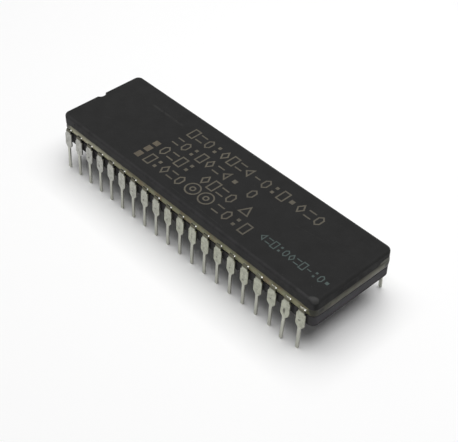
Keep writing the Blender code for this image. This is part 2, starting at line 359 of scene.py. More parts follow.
scratches = [
    # x from and to, y at both ends, width, strength
    (-18.8 * mm, -11.1 * mm, 4.0 * mm, 3.9 * mm, 0.42 * mm, 0.30),
    (-3.0 * mm, 9.0 * mm, -6.15 * mm, -6.35 * mm, 0.12 * mm, 0.30),
    (14.0 * mm, 19.5 * mm, 0.9 * mm, 1.7 * mm, 0.10 * mm, 0.22),
    (-22.0 * mm, -19.2 * mm, -3.8 * mm, -2.2 * mm, 0.10 * mm, 0.25),
]
scratchEdge = {
    "broken": (0.9 * mm, 5.0, 0.75, 0.36, 0.60),
    "across": (0.2, 0.6),  # shares of the width
    "endsFrom": 0.75,  # share of half the length
}

lidHighlightsAndMarks = [
    # colour, middle and reach in mm, strength: painted highlights on the rounded near corner and on
    # the near edge, a smear of glass, a chip
    ((0.088, 0.088, 0.086), (25.28, -6.80, 8.80), (0.95, 0.60, 0.60), 0.46),
    ((0.06, 0.06, 0.059), (23.4, -7.0, 8.75), (1.3, 0.30, 0.34), 0.20),
    ((0.17, 0.17, 0.145), (25.86, 6.10, 7.42), (0.45, 1.65, 0.44), 0.62),
    ((0.002, 0.002, 0.002), (-22.95, -7.2, 8.20), (0.22, 0.25, 0.16), 0.95),
]


def scratchMask(tree, place, marks, edge):
    x, y, _ = splitPlace(tree, place)
    broken = cloudMask(tree, place, edge["broken"])
    total = None
    for startX, endX, startY, endY, width, strength in marks:
        slope = (endY - startY) / (endX - startX)
        line = mathNode(tree, "MULTIPLY_ADD", x, slope, startY - slope * startX)
        off = mathNode(tree, "ABSOLUTE", mathNode(tree, "SUBTRACT", y, line))
        full, gone = (share * width for share in edge["across"])
        across = rangeNode(tree, off, full, gone, 1.0, 0.0)
        middle, reach = (startX + endX) / 2, (endX - startX) / 2
        fromMiddle = mathNode(tree, "ABSOLUTE", mathNode(tree, "SUBTRACT", x, middle))
        along = rangeNode(tree, fromMiddle, edge["endsFrom"] * reach, reach, strength, 0.0)
        mark = product(tree, across, along)
        total = mark if total is None else mathNode(tree, "MAXIMUM", total, mark)
    return product(tree, total, broken)


def makeCeramic(name, look, box, marks=(), highlightsAndMarks=()):
    material, tree, shader, place = startMaterial(name, Specular_IOR_Level=look["specular"])
    grain = useGroup(tree, grainGroup, place, **look["grain"])
    grainMask = rangeNode(tree, grain["Height"], *look["grainLevels"])
    color = mixColors(tree, grainMask, look["dark"], look["light"])
    cloud = cloudMask(tree, place, look["cloud"])
    # painted light and shade: the long sides and the ends each get a tone of their own for how the
    # light falls on them, the ends' top rounding a painted highlight and their foot a painted shade
    sideShadingMask, endShadingMask = insetMasks(tree, place, box, look["skin"])
    color = mixColors(tree, product(tree, sideShadingMask, cloud), color, look["side"])
    height = splitPlace(tree, place)[2]
    endHighlightMask = rangeNode(tree, height, *look["endHighlightFrom"])
    footShadeMask = rangeNode(tree, height, *look["footShadeTo"], 1.0, 0.0)
    endColor = mixColors(tree, endHighlightMask, look["end"], look["endTop"])
    endColor = mixColors(tree, footShadeMask, endColor, look["foot"])
    color = mixColors(tree, product(tree, endShadingMask, cloud), color, endColor)
    specks = useGroup(tree, speckGroup, place, **look["specks"])
    color = mixColors(tree, specks["Mask"], color, look["speck"])
    rim = mathNode(tree, "MAXIMUM", *insetMasks(tree, place, box, (0.0, look["wearWidth"])))
    worn = product(tree, rim, cloudMask(tree, place, look["scuffs"]), look["wornShare"])
    color = mixColors(tree, worn, color, look["worn"])
    if marks:
        color = mixColors(tree, scratchMask(tree, place, marks, scratchEdge), color, look["worn"])
    # painted highlights on the lid's rounding, and real smears and chips
    for blotColor, *blot in highlightsAndMarks:
        color = mixColors(tree, blotMask(tree, place, *blot, look["ragged"]), color, blotColor)
    finishSurface(tree, shader, color, grain, look)
    return material


# Olive solder glass

glassLook = {
    "olive": (0.318, 0.302, 0.180),
    "brown": (0.250, 0.200, 0.118),
    "green": (0.255, 0.272, 0.172),
    "pale": (0.640, 0.625, 0.465),
    # colour of the painted shade
    "paintedShade": (0.014, 0.014, 0.012),
    "patches": (1.6 * mm, 4.0, 0.55, 0.42, 0.64),
    "tints": (0.9 * mm, 3.0, 0.55, 0.42, 0.60),
    "tintShare": 0.6,
    "rowBlend": 7.0 * mm,
    "paleTo": (-19.0 * mm, -9.0 * mm),
    "paleShare": 0.75,
    # each height or length from and to, then the strength there and beyond
    "paleRise": (6.30 * mm, 7.15 * mm, 0.35, 1.0),
    # painted shade under the lid's edge
    "shadeUnderLid": (6.72 * mm, 7.50 * mm, 0.0, 0.70),
    "endShade": (25.2 * mm, 25.75 * mm, 0.0, 0.73),
    "endRise": (6.60 * mm, 7.30 * mm, 1.0, 1.27),
    "endFall": (6.20 * mm, 6.75 * mm, 1.16, 1.0),
    "grain": {"Fine": 9000.0, "Broad": 900.0, "Broad_Share": 0.6},
    "grainDepth": 0.02 * mm,
    "pits": {"Density": 5200.0, "Dot_Size": 0.2, "Share": 0.16},
    "pitShare": 0.6,
    "roughness": (0.28, 0.48),
    "specular": 0.18,
}


# painted shade at the corners, where the recessed glass lies in shadow: middle and reach in mm, and
# strength
glassShades = [
    ((25.9, -6.6, 6.8), (1.50, 4.2, 2.2), 0.92),
    ((25.95, -6.2, 6.7), (0.45, 1.6, 1.0), 0.99),
    ((-25.9, -7.3, 6.8), (2.6, 2.6, 2.2), 0.98),
    ((25.9, 7.1, 6.55), (1.6, 2.6, 1.1), 0.97),
]


def makeGlassLook(look):
    material, tree, shader, place = startMaterial("oliveGlass", Specular_IOR_Level=look["specular"])
    x, y, z = splitPlace(tree, place)
    color = mixColors(tree, cloudMask(tree, place, look["patches"]), look["olive"], look["brown"])
    tint = product(tree, cloudMask(tree, place, look["tints"]), look["tintShare"])
    color = mixColors(tree, tint, color, look["green"])
    # the glass is thicker and paler at the start of each row, blended across the ends
    rowSide = rangeNode(tree, y, -look["rowBlend"], look["rowBlend"], 1.0, -1.0)
    pale = rangeNode(tree, product(tree, x, rowSide), *look["paleTo"], 1.0, 0.0)
    pale = product(tree, pale, look["paleShare"], rangeNode(tree, z, *look["paleRise"]))
    color = mixColors(tree, pale, color, look["pale"])
    grain = useGroup(tree, grainGroup, place, **look["grain"])
    pits = useGroup(tree, speckGroup, place, **look["pits"])
    color = mixColors(tree, product(tree, pits["Mask"], look["pitShare"]), color, look["brown"])
    # painted shade: towards the lid, under its edge, and at the body's ends, the glass is painted
    # dark
    shadeShare = rangeNode(tree, z, *look["shadeUnderLid"])
    atEnd = rangeNode(tree, mathNode(tree, "ABSOLUTE", x), *look["endShade"])
    upper = product(tree, rangeNode(tree, z, *look["endRise"]), rangeNode(tree, z, *look["endFall"]))
    shadeShare = mathNode(tree, "MAXIMUM", shadeShare, product(tree, atEnd, upper))
    for shade in glassShades:
        shadeShare = mathNode(tree, "MAXIMUM", shadeShare, blotMask(tree, place, *shade))
    color = mixColors(tree, shadeShare, color, look["paintedShade"])
    finishSurface(tree, shader, color, grain, look)
    return material


# Dull tin on the leads

tinLook = {
    "bright": (0.43, 0.43, 0.400),
    "dull": (0.33, 0.33, 0.305),
    "mottle": (0.35, 0.65),
    "grain": {"Fine": 14000.0, "Broad": 1800.0, "Broad_Share": 0.5},
    "grainDepth": 0.008 * mm,
    "roughness": (0.34, 0.50),
    "pitch": 2.54 * mm,
    "countFrom": 1.0,
    "rowsApart": 40.0,  # keeps the lead numbers of the two rows apart
    "aged": (1.01, 1.030, 0.920),
    "agedFrom": (-22.0 * mm, 6.0 * mm),
    "smudge": (0.12, 0.118, 0.105),
    "smudgeHeight": 5.0 * mm,
    "smudgeReach": (0.30 * mm, 0.85 * mm),
    "smudgeCloud": (0.28 * mm, 3.0, 0.55, 0.50, 0.66),
    "smudgeShare": 0.8,
    # middle across and height, then half the width and half the height
    "dimple": (-0.12 * mm, 4.65 * mm, 0.17 * mm, 0.14 * mm),
    "dimpleShift": 0.7 * mm,
    "dimpleEdge": (0.3, 1.2, 0.9, 0.0),
    "dimpleChance": (0.2, 0.7, 0.3, 1.0),
    "spot": (21.50 * mm, 4.74 * mm, 0.20 * mm, 0.42 * mm),
    "spotEdge": (0.5, 1.2, 0.85, 0.0),
    "leg": (0.47, 0.475, 0.42),
    "legTo": (3.3 * mm, 4.1 * mm),
    # painted dark reflection over the bend, and painted shade by the seal
    "bend": (0.080, 0.076, 0.054),
    "bendShare": 0.92,
    "bendOut": (7.37 * mm, 7.40 * mm),
    "bendUp": (6.42 * mm, 6.64 * mm),
    "bendDeep": (0.028, 0.027, 0.021),
    "sealShadeGain": 1.08,
    "sealShadeTo": (7.50 * mm, 7.60 * mm),
    "sealShadeRow": (6.0 * mm, 24.0 * mm),
    # painted glints on the bends
    "paintedGlint": (0.80, 0.80, 0.77),
    "glintEdge": (0.27 * mm, 0.33 * mm),
    "edgeTo": (7.47 * mm, 7.52 * mm),
    "stripeFrom": 17.8 * mm,
    "stripeTo": (7.415 * mm, 7.455 * mm),
    "stripeCloud": (0.25 * mm, 3.0, 0.55, 0.35, 0.60, 0.2, 1.0),
    "stripeShare": 0.42,
}


def makeTin(look):
    material, tree, shader, place = startMaterial("dullTin", Metallic=1.0)
    x, y, z = splitPlace(tree, place)
    side = mathNode(tree, "SIGN", y)
    rowSide = product(tree, side, -1.0)
    alongRow = product(tree, x, rowSide)
    grain = useGroup(tree, grainGroup, place, **look["grain"])
    mottle = rangeNode(tree, grain["Mottle"], *look["mottle"])
    color = mixColors(tree, mottle, look["bright"], look["dull"])
    # towards the end of the row the plating has yellowed
    aged = rangeNode(tree, alongRow, *look["agedFrom"])
    color = mixColors(tree, aged, color, look["aged"], "MULTIPLY")
    # the leads stand half a pitch off the middle; off is measured from each lead's own middle
    steps = mathNode(tree, "ADD", mathNode(tree, "DIVIDE", x, look["pitch"]), look["countFrom"])
    off = mathNode(tree, "SUBTRACT", mathNode(tree, "FRACT", steps), 0.5)
    off = product(tree, off, look["pitch"])
    reachAcross, reachUp = look["smudgeReach"]
    far = farFrom(tree, (off, 0.0, reachAcross), (z, look["smudgeHeight"], reachUp))
    zone = rangeNode(tree, far, 0.0, 1.0, 1.0, 0.0)
    smudge = product(tree, zone, cloudMask(tree, place, look["smudgeCloud"]), look["smudgeShare"])
    color = mixColors(tree, smudge, color, look["smudge"])
    # each blade carries a small dark dimple, at a height of its own
    count = mathNode(tree, "FLOOR", steps)
    leadNumber = mathNode(tree, "MULTIPLY_ADD", side, look["rowsApart"], count)
    chance = tree.nodes.new("ShaderNodeTexWhiteNoise")
    chance.noise_dimensions = "1D"
    tree.links.new(leadNumber, chance.inputs["W"])
    split = tree.nodes.new("ShaderNodeSeparateColor")
    tree.links.new(chance.outputs["Color"], split.inputs[0])
    dimpleX, dimpleZ, dimpleWide, dimpleTall = look["dimple"]
    shift = mathNode(tree, "SUBTRACT", split.outputs[0], 0.5)
    moved = mathNode(tree, "MULTIPLY_ADD", shift, -look["dimpleShift"], z)
    onDimple = farFrom(tree, (off, dimpleX, dimpleWide), (moved, dimpleZ, dimpleTall))
    strength = rangeNode(tree, split.outputs[1], *look["dimpleChance"])
    dimple = product(tree, rangeNode(tree, onDimple, *look["dimpleEdge"]), strength)
    color = mixColors(tree, dimple, color, look["smudge"])
    # one lead of the near row has a burnt spot
    spotX, spotZ, spotWide, spotTall = look["spot"]
    onSpot = farFrom(tree, (x, spotX, spotWide), (z, spotZ, spotTall))
    nearRow = mathNode(tree, "LESS_THAN", y, 0.0)
    spot = product(tree, rangeNode(tree, onSpot, *look["spotEdge"]), nearRow)
    color = mixColors(tree, spot, color, look["smudge"])
    # the legs are lighter than the blades
    color = mixColors(tree, rangeNode(tree, z, *look["legTo"], 1.0, 0.0), color, look["leg"])
    # painted dark reflection over the bend, with painted shade that is darkest by the seal and at
    # the start of the row
    depth = mathNode(tree, "ABSOLUTE", y)
    above = rangeNode(tree, z, *look["bendUp"])
    bySeal = rangeNode(tree, depth, *look["sealShadeTo"], 1.0, 0.0)
    sealShadeMask = product(tree, bySeal, rangeNode(tree, alongRow, *look["sealShadeRow"], 1.0, 0.0))
    bendDarkening = product(tree, rangeNode(tree, depth, *look["bendOut"]), above, look["bendShare"])
    bendDarkening = product(tree, bendDarkening, rangeNode(tree, sealShadeMask, 0.0, 1.0, 1.0, look["sealShadeGain"]))
    color = mixColors(tree, bendDarkening, color, mixColors(tree, sealShadeMask, look["bend"], look["bendDeep"]))
    # painted glints: the bend is painted bright on one edge, and right across on the last leads of
    # each row
    edge = rangeNode(tree, product(tree, off, rowSide), *look["glintEdge"])
    edge = product(tree, rangeNode(tree, depth, *look["edgeTo"], 1.0, 0.0), edge)
    last = mathNode(tree, "GREATER_THAN", alongRow, look["stripeFrom"])
    glintBreakup = product(tree, cloudMask(tree, place, look["stripeCloud"]), look["stripeShare"])
    stripe = product(tree, last, glintBreakup, rangeNode(tree, depth, *look["stripeTo"], 1.0, 0.0))
    paintedGlint = product(tree, mathNode(tree, "MAXIMUM", edge, stripe), above)
    color = mixColors(tree, paintedGlint, color, look["paintedGlint"])
    finishSurface(tree, shader, color, grain, look)
    return material


# Silicon and silver-filled glass, sealed inside

innerLooks = {
    "silicon": {
        "colors": ((0.23, 0.25, 0.30), (0.16, 0.18, 0.26)),
        "cloud": (0.4 * mm, 3.0, 0.55, 0.4, 0.6),
        "roughness": 0.15,
        "metallic": 0.7,
    },
    "silverGlass": {
        "colors": ((0.70, 0.69, 0.66), (0.52, 0.51, 0.49)),
        "cloud": (0.15 * mm, 3.0, 0.55, 0.4, 0.6),
        "roughness": 0.5,
        "metallic": 1.0,
    },
}


def makeInnerLook(name, look):
    material, tree, shader, place = startMaterial(
        name, Roughness=look["roughness"], Metallic=look["metallic"]
    )
    color = mixColors(tree, cloudMask(tree, place, look["cloud"]), *look["colors"])
    tree.links.new(color, shader.inputs["Base Color"])
    return material


lidCeramic = makeCeramic("lidCeramic", lidLook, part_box("lid"), scratches, lidHighlightsAndMarks)
baseCeramic = makeCeramic("baseCeramic", baseLook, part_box("base"))
oliveGlass = makeGlassLook(glassLook)
dullTin = makeTin(tinLook)
silicon = makeInnerLook("silicon", innerLooks["silicon"])
silverGlass = makeInnerLook("silverGlass", innerLooks["silverGlass"])
print("finishes made")


def giveMaterial(obj, material):
    obj.data.materials.clear()
    obj.data.materials.append(material)


creaseAngle = 38  # degrees, past which shading breaks
flatWithin = 0.0001 * mm
pocketSegments = 4


def newMesh(name, bm):
    mesh = bpy.data.meshes.new(name)
    bm.to_mesh(mesh)
    bm.free()
    return mesh


def shadeMesh(mesh, angle):
    mesh.shade_smooth()
    mesh.set_sharp_from_angle(angle=math.radians(angle))


def addPiece(name, bm, material, replaced=(), sharpAngle=creaseAngle):
    bmesh.ops.recalc_face_normals(bm, faces=bm.faces)
    mesh = newMesh(name, bm)
    shadeMesh(mesh, sharpAngle)
    piece = newObject(name, mesh)
    giveMaterial(piece, material)
    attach(piece, "root")
    if replaced:
        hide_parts(*replaced)
    return piece


def evenShading(piece):
    # keeps large flat faces flat beside their small rounded edges
    modifier = piece.modifiers.new("evenShading", "WEIGHTED_NORMAL")
    modifier.keep_sharp = True


def vertsOf(result):
    return [g for g in result["geom"] if isinstance(g, bmesh.types.BMVert)]


def edgesOf(result):
    return [g for g in result["geom"] if isinstance(g, bmesh.types.BMEdge)]


def atHeight(parts, height):
    return [p for p in parts if all(abs(v.co.z - height) < flatWithin for v in p.verts)]


def roundRim(bm, height, radius, segments):
    bmesh.ops.bevel(
        bm, geom=atHeight(bm.edges, height), offset=radius, segments=segments, profile=0.5,
        affect="EDGES", material=-1,
    )


def roundedPlate(bm, length, width, height, radius, segments, shiftY=0.0):
    corners = [
        bm.verts.new((sx * length / 2, sy * width / 2 + shiftY, height))
        for sx, sy in ((1, 1), (-1, 1), (-1, -1), (1, -1))
    ]
    plate = bm.faces.new(corners)
    before = set(bm.faces) - {plate}
    bmesh.ops.bevel(
        bm, geom=corners, offset=radius, segments=segments, profile=0.5,
        affect="VERTICES", material=-1,
    )
    return [f for f in bm.faces if f not in before][0]


def raisePlate(bm, faces, rise, keep=False):
    raised = bmesh.ops.extrude_face_region(bm, geom=faces, use_keep_orig=keep)
    bmesh.ops.translate(bm, verts=vertsOf(raised), vec=(0, 0, rise))


def cutPocket(bm, height, size, radius, depth):
    # opens a rounded pocket in the flat face at that height; a positive depth goes upwards
    around = max(atHeight(bm.faces, height), key=lambda f: f.calc_area())
    outline = list(around.edges)
    bmesh.ops.delete(bm, geom=[around], context="FACES_ONLY")
    mouth = roundedPlate(bm, *size, height, radius, pocketSegments)
    mouthEdges = list(mouth.edges)
    raisePlate(bm, [mouth], depth)
    covers = [f for f in bm.faces if all(e in mouthEdges for e in f.edges)]
    bmesh.ops.delete(bm, geom=covers, context="FACES_ONLY")
    bmesh.ops.triangle_fill(bm, edges=outline + mouthEdges, use_beauty=True)


# Lid

lidShape = {
    "cornerRadius": 0.95 * mm,
    "cornerSegments": 10,
    "topEdge": (0.45 * mm, 8),  # radius and segments
    "bottomEdge": (0.15 * mm, 4),
    "notchRadius": 0.84 * mm,
    "notchDepth": 0.75 * mm,
    "notchShift": -0.12 * mm,
    "notchSegments": 64,
    "pocket": (11.2 * mm, 10.8 * mm),
    "pocketDepth": 0.45 * mm,
    "pocketRadius": 0.4 * mm,
}


def cutNotch(lid, shape):
    # the notch is a half-round groove down the whole end, cut after the edges were rounded
    low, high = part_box("lid")
    radius = shape["notchRadius"]
    centre = Vector((
        low.x + shape["notchDepth"] - radius,
        (low.y + high.y) / 2 + shape["notchShift"], (low.z + high.z) / 2,
    ))
    bm = bmesh.new()
    bmesh.ops.create_cone(
        bm, cap_ends=True, segments=shape["notchSegments"], radius1=radius, radius2=radius,
        depth=2 * (high.z - low.z), matrix=Matrix.Translation(centre),
    )
    cutter = newObject("notchCutter", newMesh("notchCutter", bm))
    cut = lid.modifiers.new("notch", "BOOLEAN")
    cut.object = cutter
    cut.solver = "EXACT"
    evaluated = lid.evaluated_get(bpy.context.evaluated_depsgraph_get())
    cutMesh = bpy.data.meshes.new_from_object(evaluated)
    lid.modifiers.clear()
    lid.data = cutMesh
    bpy.data.objects.remove(cutter)
    shadeMesh(cutMesh, creaseAngle)


def makeLid(shape):
    low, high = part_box("lid")
    bm = bmesh.new()
    plate = roundedPlate(
        bm, high.x - low.x, high.y - low.y, low.z, shape["cornerRadius"],
        shape["cornerSegments"], (low.y + high.y) / 2,
    )
    raisePlate(bm, [plate], high.z - low.z)
    roundRim(bm, high.z, *shape["topEdge"])
    roundRim(bm, low.z, *shape["bottomEdge"])
    cutPocket(bm, low.z, shape["pocket"], shape["pocketRadius"], shape["pocketDepth"])
    lid = addPiece("lidCap", bm, lidCeramic, ("lid",))
    cutNotch(lid, shape)
    evenShading(lid)


makeLid(lidShape)
print("lid made")


# Base

baseShape = {
    "cornerRadius": 0.95 * mm,
    "cornerSegments": 10,
    "bottomEdge": (0.20 * mm, 6),  # radius and segments
    "sealChamfer": 0.45 * mm,
    "cavity": (7.6 * mm, 7.2 * mm),
    "cavityDepth": 0.6 * mm,
    "cavityRadius": 0.4 * mm,
}


def makeBase(shape):
    low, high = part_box("base")
    bm = bmesh.new()
    plate = roundedPlate(
        bm, high.x - low.x, high.y - low.y, low.z, shape["cornerRadius"], shape["cornerSegments"]
    )
    raisePlate(bm, [plate], high.z - low.z)
    roundRim(bm, low.z, *shape["bottomEdge"])
    roundRim(bm, high.z, shape["sealChamfer"], 1)
    cutPocket(bm, high.z, shape["cavity"], shape["cavityRadius"], -shape["cavityDepth"])
    evenShading(addPiece("baseTray", bm, baseCeramic, ("base",)))


makeBase(baseShape)
print("base made")


# Solder glass, squeezed out round the leads

sealShape = {
    "cornerRadius": 0.95 * mm,
    "cornerSegments": 8,
    "creaseAngle": 50,
    "window": (11.2 * mm, 10.8 * mm),
    "well": (7.8 * mm, 7.4 * mm),
    "innerRadius": 0.4 * mm,
    "ledge": 0.215 * mm,
    "underLid": (0.17 * mm, 0.015 * mm),  # in from the lid's side and down from its underside
    "straightFrom": 1 * mm,
    "step": 0.13 * mm,
    "unevenness": 0.045 * mm,
    "lumpSize": 1.3 * mm,
    "runSize": 0.7 * mm,
    "runLevel": 9 * mm,
    "runShares": (0.5, 1.2),
    "leadWidth": 0.96 * mm,
    "hugReach": 0.26 * mm,
    "rowLength": 10,  # pitches each way from the middle
    "rowFrom": 6.5 * mm,
    "bareFrom": 15.5 * mm,
    "bareShare": 0.35,
    "cornerGap": 0.42 * mm,
    "gapReach": 1.5 * mm,
    "sag": 0.17 * mm,
    "sagRows": 6,
    "climb": 0.10 * mm,
    "climbFrom": 7,
}

# the outer skin from the base's chamfer up the lid's side, as distance out from the base's
# side and height above the base's flat top, in mm
sealProfile = {
    "between": [
        (-0.20, -0.22), (-0.09, -0.20), (0.00, -0.12), (0.055, 0.00), (0.08, 0.15), (0.09, 0.32),
        (0.08, 0.49), (0.06, 0.64), (0.035, 0.77), (0.012, 0.87), (-0.03, 0.94),
    ],
    "byLead": [
        (-0.20, -0.22), (-0.08, -0.20), (0.03, -0.11), (0.085, 0.02), (0.115, 0.17), (0.13, 0.34),
        (0.125, 0.50), (0.08, 0.61), (0.035, 0.75), (0.012, 0.86), (-0.03, 0.94),
    ],
    "atEnd": [
        (-0.05, -0.38), (0.00, -0.31), (0.035, -0.20), (0.055, -0.05), (0.065, 0.12), (0.065, 0.30),
        (0.055, 0.48), (0.04, 0.63), (0.022, 0.76), (0.005, 0.86), (-0.03, 0.92),
    ],
}


def leadNearness(x, y, shape):
    # 1 beside a lead, 0 away from it; the last leads of each row came out barer
    pitch = tinLook["pitch"]
    fromLead = abs((x / pitch) % 1 - 0.5) * pitch
    if abs(x) > shape["rowLength"] * pitch or abs(y) < shape["rowFrom"]:
        return 0.0
    beyond = (fromLead - shape["leadWidth"] / 2) / shape["hugReach"]
    near = 0.5 + 0.5 * math.cos(math.pi * max(0.0, min(1.0, beyond)))
    return near * (shape["bareShare"] if x * y < -shape["bareFrom"] * abs(y) else 1.0)


def growSkin(bm, shape, length, width, height, count):
    # a finely divided outline and that many rows extruded from it, not yet moved to their places
    plate = roundedPlate(bm, length, width, height, shape["cornerRadius"], shape["cornerSegments"])
    for edge in [e for e in plate.edges if e.calc_length() > shape["straightFrom"]]:
        cuts = int(edge.calc_length() / shape["step"])
        bmesh.ops.subdivide_edges(bm, edges=[edge], cuts=cuts)
    bmesh.ops.delete(bm, geom=list(bm.faces), context="FACES_ONLY")
    lowest = list(bm.edges)
    outline = lowest
    rows = [list(bm.verts)]
    for _ in range(count):
        skin = bmesh.ops.extrude_edge_only(bm, edges=outline)
        outline = [e for e in edgesOf(skin) if e.is_boundary and e not in lowest]
        rows.append(vertsOf(skin))
    return rows, lowest, outline


def skinOffset(place, outward, reach, number, last, shape, profile):
    # how far out and up that row of the skin lies there
    x, y = place
    between, byLead, atEnd = (Vector(profile[k][number - 1]) * mm for k in profile)
    away, rise = atEnd.lerp(between.lerp(byLead, leadNearness(x, y, shape)), outward.y ** 2)
    # lumps, and two corners where the glass ran thin
    swell = math.sin(math.pi * number / last)
    lumps = noise.noise(Vector((x, y, rise)) / shape["lumpSize"])
    fromCorner = min((place - Vector((side * reach.x, -reach.y))).length for side in (1, -1))
    gap = 0.5 + 0.5 * math.cos(math.pi * min(1.0, fromCorner / shape["gapReach"]))
    away += swell * (lumps * shape["unevenness"] - gap * shape["cornerGap"])
    # runs, a sag towards the row's end below and a climb towards its start above
    runs = noise.noise(Vector((x, y, shape["runLevel"])) / shape["runSize"])
    lowShare, highShare = shape["runShares"]
    rise += runs * shape["unevenness"] * (highShare if number > shape["sagRows"] else lowShare)
    alongRow = x / reach.x * (-1 if outward.y > 0 else 1) * outward.y ** 2
    if number < shape["sagRows"]:
        rise -= shape["sag"] * alongRow * math.sin(math.pi * number / shape["sagRows"])
    elif number > shape["climbFrom"]:
        rise += shape["climb"] * max(0.0, -alongRow)
    return away, rise


def placeSkin(rows, reach, baseTop, lidFoot, shift, shape, profile):
    # the first row sits under the leads, on the base's flat top, inside its chamfer; the last one
    # sits just under the lid's flat underside, inside its rounded edge
    last = len(rows) - 1
    inward, seat = shape["underLid"]
    for number, row in enumerate(rows):
        for vert in row:
            place = vert.co.xy
            core = Vector((
                max(-reach.x, min(reach.x, place.x)), max(-reach.y, min(reach.y, place.y))
            ))
            outward = (place - core).normalized()
            if number == 0:
                radius = shape["cornerRadius"] - baseShape["sealChamfer"]
                vert.co = (*(core + outward * radius), baseTop)
            elif number == last:
                spot = core + outward * (shape["cornerRadius"] - inward)
                vert.co = (spot.x, spot.y + shift, lidFoot - seat)
            else:
                away, rise = skinOffset(place, outward, reach, number, last, shape, profile)
                spot = core + outward * (shape["cornerRadius"] + away)
                follow = max(0.0, min(1.0, rise / (lidFoot - baseTop)))
                vert.co = (spot.x, spot.y + shift * follow, baseTop + rise)


def innerWall(bm, size, radius, height, farHeight):
    # the upright wall round a rounded window; gives its edges at both heights
    window = roundedPlate(bm, *size, height, radius, pocketSegments)
    windowEdges = list(window.edges)
    wall = bmesh.ops.extrude_edge_only(bm, edges=windowEdges)
    moved = vertsOf(wall)
    bmesh.ops.translate(bm, verts=moved, vec=(0, 0, farHeight - height))
    farEdges = [e for e in edgesOf(wall) if all(v in moved for v in e.verts)]
    bmesh.ops.delete(bm, geom=[window], context="FACES_ONLY")
    return windowEdges, farEdges


def makeSeal(shape, profile):
    baseLow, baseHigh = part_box("base")
    lidLow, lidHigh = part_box("lid")
    length, width = baseHigh.x - baseLow.x, baseHigh.y - baseLow.y
    reach = Vector((length / 2 - shape["cornerRadius"], width / 2 - shape["cornerRadius"]))
    bm = bmesh.new()
    rows, lowest, top = growSkin(
        bm, shape, length, width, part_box("sealing_glass")[0].z, len(profile["between"]) + 1
    )
    placeSkin(rows, reach, baseHigh.z, lidLow.z, (lidLow.y + lidHigh.y) / 2, shape, profile)
    # inside, the glass steps back over the fingers of the leads
    topHeight = lidLow.z - shape["underLid"][1]
    ledgeHeight = baseHigh.z + shape["ledge"]
    window, ledge = innerWall(bm, shape["window"], shape["innerRadius"], topHeight, ledgeHeight)
    well, foot = innerWall(bm, shape["well"], shape["innerRadius"], ledgeHeight, baseHigh.z)
    for outer, inner in ((top, window), (ledge, well), (lowest, foot)):
        bmesh.ops.triangle_fill(bm, edges=outer + inner, use_beauty=True)
    evenShading(addPiece(
        "glassSeal", bm, oliveGlass, ("sealing_glass",), shape["creaseAngle"]
    ))


makeSeal(sealShape, sealProfile)
print("glass seal made")


# Leads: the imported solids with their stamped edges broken

leadFinish = {
    "edge": 0.035 * mm,
    "edgeSegments": 2,
    "trim": 0.07 * mm,
    "trimFrom": 0.7 * mm,
    "legBelow": 3 * mm,
    "thickness": 0.25 * mm,
    "within": 0.01 * mm,
    # from and to height, least turn of the outline in radians, and radius
    "shoulders": (6.0 * mm, 6.3 * mm, 0.5, 0.26 * mm),
    "corners": (3.4 * mm, 4.4 * mm, -2.0, 0.12 * mm),
    "cornerSegments": 4,
    "flatAngle": 1,
    "sharpAngle": 40,
    "creaseAngle": 30,
    "sealedWithin": 6.70 * mm,
    "weld": 0.0005 * mm,
}


def outlineCorners(bm, finish, low, high, least):
    # the short edges through the strip's thickness, where its stamped outline turns
    corners = []
    for edge in bm.edges:
        across = edge.verts[0].co - edge.verts[1].co
        height = (edge.verts[0].co.z + edge.verts[1].co.z) / 2
        asThick = abs(across.length - finish["thickness"]) < finish["within"]
        through = asThick and abs(across.x) < finish["within"]
        if through and low < height < high and edge.calc_face_angle_signed() > least:
            corners.append(edge)
    return corners


def makeLead(name, finish):
    bm = bmesh.new()
    bm.from_mesh(nodes[name].data)
    bmesh.ops.remove_doubles(bm, verts=bm.verts, dist=finish["weld"])
    bmesh.ops.join_triangles(
        bm, faces=bm.faces, angle_face_threshold=math.radians(finish["flatAngle"]),
        angle_shape_threshold=math.pi,
    )
    # the stamped blades come out a little narrower once their edges are dressed
    legs = [v.co.x for v in bm.verts if v.co.z < finish["legBelow"]]
    middle = sum(legs) / len(legs)
    for vert in bm.verts:
        if abs(vert.co.x - middle) > finish["trimFrom"]:
            vert.co.x -= math.copysign(finish["trim"], vert.co.x - middle)
    bm.normal_update()
    for low, high, least, radius in (finish["shoulders"], finish["corners"]):
        bmesh.ops.bevel(
            bm, geom=outlineCorners(bm, finish, low, high, least), offset=radius,
            segments=finish["cornerSegments"], profile=0.5, affect="EDGES", material=-1,
            clamp_overlap=True,
        )
    # the corners' roundings can meet in one spot, which would hold the edges' width to nothing
    bmesh.ops.remove_doubles(bm, verts=bm.verts, dist=finish["weld"])
    bm.normal_update()
    # only the edges outside the seal are broken
    weight = bm.edges.layers.float.new("bevel_weight_edge")
    for edge in bm.edges:
        outside = all(abs(v.co.y) > finish["sealedWithin"] for v in edge.verts)
        if outside and edge.calc_face_angle(0.0) > math.radians(finish["sharpAngle"]):
            edge[weight] = 1.0
    pieceName = name.replace("lead_", "formedLead")
    lead = addPiece(pieceName, bm, dullTin, (name,), finish["creaseAngle"])
    rounding = lead.modifiers.new("brokenEdges", "BEVEL")
    rounding.width = finish["edge"]
    rounding.segments = finish["edgeSegments"]
    rounding.limit_method = "WEIGHT"
    evenShading(lead)


for leadName in leadNames:
    makeLead(leadName, leadFinish)
print("leads made:", len(leadNames))

giveMaterial(nodes["die"], silicon)
giveMaterial(nodes["die_attach"], silverGlass)


# Print on the lid: rows of plain shapes in worn ink

